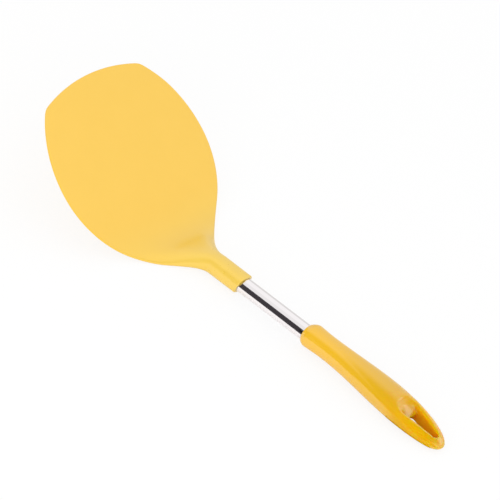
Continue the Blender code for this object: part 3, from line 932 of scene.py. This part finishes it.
def eased(tree, value, start, end, low=0.0, high=1.0):
    """Smooth step from low, where the value is at start, to high, where it is at end."""
    result = linked(tree, "ShaderNodeMapRange", None, value, start, end, low, high)
    result.node.interpolation_type = "SMOOTHSTEP"
    return result


def seen_ray(tree, path):
    """1 for what the camera sees, straight or through glass."""
    return linked(tree, "ShaderNodeMath", "ADD", path["Is Camera Ray"], path["Is Transmission Ray"])


def make_world():
    """White for the camera, plain for lighting, and with a dark band overhead for reflections."""
    world = bpy.data.worlds.new("studio")
    bpy.context.scene.world = world
    world.use_nodes = True
    world.cycles.sampling_method = "NONE"
    tree = world.node_tree
    direction = tree.nodes.new("ShaderNodeTexCoord").outputs["Generated"]
    split = tree.nodes.new("ShaderNodeSeparateXYZ")
    tree.links.new(direction, split.inputs[0])
    turn = linked(tree, "ShaderNodeMath", "ARCTAN2", split.outputs["Z"], split.outputs["Y"])
    ends = (DARK_UP_TO - DARK_FADE, DARK_UP_TO + DARK_FADE)
    window = eased(tree, turn, *ends, GLOSS_DARK, GLOSS_SKY)
    path = tree.nodes.new("ShaderNodeLightPath").outputs
    plain = between(tree, seen_ray(tree, path), DIFFUSE_SKY, SEEN_SKY)
    strength = between(tree, path["Is Glossy Ray"], plain, window)
    sky = tree.nodes["Background"]
    sky.inputs["Color"].default_value = WHITE
    tree.links.new(strength, sky.inputs["Strength"])


def flat_mesh(name, corners, faces):
    mesh = bpy.data.meshes.new(name)
    mesh.from_pydata(corners, (), faces)
    return mesh


def stage_material(name):
    """A material without nodes yet, whose glow isn't sampled as a lamp."""
    material = bpy.data.materials.new(name)
    material.use_nodes = True
    material.cycles.emission_sampling = "NONE"
    material.node_tree.nodes.clear()
    return material


def output_mix(tree, share, first, second):
    """Sends the mix of two shaders to the material's output."""
    surface = linked(tree, "ShaderNodeMixShader", None, share, first, second)
    output = tree.nodes.new("ShaderNodeOutputMaterial")
    tree.links.new(surface, output.inputs["Surface"])


def floor_material():
    """White paper that glows for the camera, and that can be seen through from below."""
    material = stage_material("pale_floor")
    tree = material.node_tree
    path = tree.nodes.new("ShaderNodeLightPath").outputs
    seen = seen_ray(tree, path)
    level = between(tree, seen, FLOOR_PAPER, 1 - FLOOR_GLOW)
    tone = linked(tree, "ShaderNodeCombineColor", None, level, level, level)
    paper = linked(tree, "ShaderNodeBsdfDiffuse", None, tone)
    shine = between(tree, path["Is Glossy Ray"], 0.0, FLOOR_SHINE)
    strength = between(tree, seen, shine, FLOOR_GLOW)
    glow = linked(tree, "ShaderNodeEmission", None, WHITE, strength)
    both = linked(tree, "ShaderNodeAddShader", None, paper, glow)
    clear = linked(tree, "ShaderNodeBsdfTransparent")
    behind = tree.nodes.new("ShaderNodeNewGeometry").outputs["Backfacing"]
    output_mix(tree, behind, both, clear)
    return material


def card_material(name, colour, fades):
    """Plain glow that fades out to clear along each of the given ramps over the floor plan."""
    material = stage_material(name)
    tree = material.node_tree
    position = tree.nodes.new("ShaderNodeNewGeometry").outputs["Position"]
    share = 1.0
    for of_x, of_y, clear_at, full_at in fades:
        dot = linked(tree, "ShaderNodeVectorMath", "DOT_PRODUCT", position, (of_x, of_y, 0.0))
        ramp = eased(tree, dot.node.outputs["Value"], clear_at, full_at)
        share = linked(tree, "ShaderNodeMath", "MULTIPLY", share, ramp)
    clear = linked(tree, "ShaderNodeBsdfTransparent")
    glow = linked(tree, "ShaderNodeEmission", None, (*colour, 1.0), 1.0)
    output_mix(tree, share, clear, glow)
    return material


def make_card(name, corners, faces, colour, fades=()):
    """A card that only reflections see."""
    card = new_object(name, flat_mesh(name, corners, faces))
    card.data.materials.append(card_material(name, colour, fades))
    card.visible_camera = False
    card.visible_diffuse = False
    card.visible_transmission = False
    card.visible_shadow = False


def card_along(name, profile, colour, front=COLLAR_END, rear=HANDLE_NOSE):
    """A card beside the shaft, leaning the way that the shaft's reflections drift."""
    corners = []
    for y, z in profile:
        drift = REFLECTION_DRIFT * (math.hypot(y, z - SHAFT_HEIGHT) - TUBE_RADIUS)
        for along in (front, rear):
            start = SHAFT @ Vector((0.0, 0.0, along))
            corners.append((start.x + drift, y, z))
    faces = [(i, i + 1, i + 3, i + 2) for i in range(0, len(corners) - 2, 2)]
    make_card(name, corners, faces, colour)


def arc_beside(radius, low, high):
    """Points (y, z) around the shaft, from one turn above +Y to another."""
    turns = [low + (high - low) * i / CARD_STEPS for i in range(CARD_STEPS + 1)]
    return [(radius * math.cos(turn), SHAFT_HEIGHT + radius * math.sin(turn)) for turn in turns]


def make_floor():
    plan = ((-1, -1), (1, -1), (1, 1), (-1, 1))
    corners = [(FLOOR_HALF * x, FLOOR_HALF * y, FLOOR_LEVEL) for x, y in plan]
    floor = new_object("floor", flat_mesh("floor", corners, [(0, 1, 2, 3)]))
    floor.data.materials.append(floor_material())


def make_cards():
    top = SHAFT_HEIGHT + CARD_FAR * math.tan(CARD_DARK_TOP)
    dark = ((CARD_NEAR, CARD_FOOT), (CARD_FAR, CARD_FOOT), (CARD_FAR, top))
    card_along("dark_card", dark, (CARD_GREY, CARD_GREY_GREEN, CARD_GREY))
    reach = CARD_FAR / math.cos(CARD_DARK_TOP)
    white = arc_beside(reach, CARD_DARK_TOP, CARD_WHITE_TOP)
    card_along("white_card", white, (CARD_WHITE,) * 3)
    card_along("grey_card", ((FAR_CARD_Y, 0.0), (FAR_CARD_Y, FAR_CARD_TOP)), FAR_CARD_COLOUR)
    for name, height, grey, corners, fades in LEVEL_CARDS:
        raised = [(x, y, height) for x, y in corners]
        make_card(name, raised, [(0, 1, 2, 3)], (grey,) * 3, fades)
    shade = ((-SHADE_HALF, ON_FLOOR), (SHADE_HALF, ON_FLOOR))
    eye_front = HANDLE_NOSE + EYE_FRONT
    handle_end = HANDLE_NOSE + HANDLE_LENGTH
    card_along("eye_shade", shade, (GLOSS_DARK,) * 3, eye_front, handle_end)


def make_lamp():
    lamp = bpy.data.lights.new("softbox", "AREA")
    lamp.shape = "DISK"
    lamp.size = LAMP_SIZE
    lamp.energy = LAMP_POWER
    obj = new_object("softbox", lamp)
    obj.location = LAMP_AT
    obj.rotation_euler = (-LAMP_AT).to_track_quat("-Z", "Y").to_euler()
    obj.visible_glossy = False


def make_camera():
    lens = bpy.data.cameras.new("camera")
    lens.sensor_width = SENSOR_WIDTH
    lens.lens = FOCAL_LENGTH
    lens.clip_start = CLIP_START
    lens.clip_end = CLIP_END
    camera = new_object("camera", lens)
    camera.location = CAMERA_AT
    camera.rotation_mode = "QUATERNION"
    camera.rotation_quaternion = CAMERA_TURN
    bpy.context.scene.camera = camera


def main():
    bpy.context.scene.view_settings.view_transform = "Standard"
    shaft_slope = SHAFT_ANGLE - REST_TILT
    make_blade(blade_nylon())
    make_handle(handle_plastic())
    make_tube(brushed("tube_steel", TUBE_COLOUR, TUBE_ROUGHNESS, TUBE_STREAK, shaft_slope))
    plug = plug_nylon()
    pin = brushed("pin_steel", PIN_COLOUR, PIN_ROUGHNESS, PIN_STREAK, shaft_slope)
    for name, material in (
        ("front_plug", plug),
        ("rear_plug", plug),
        ("blade_pin", pin),
        ("handle_pin", pin),
    ):
        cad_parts[name].data.materials[0] = material
    make_world()
    make_floor()
    make_cards()
    make_lamp()
    make_camera()


main()
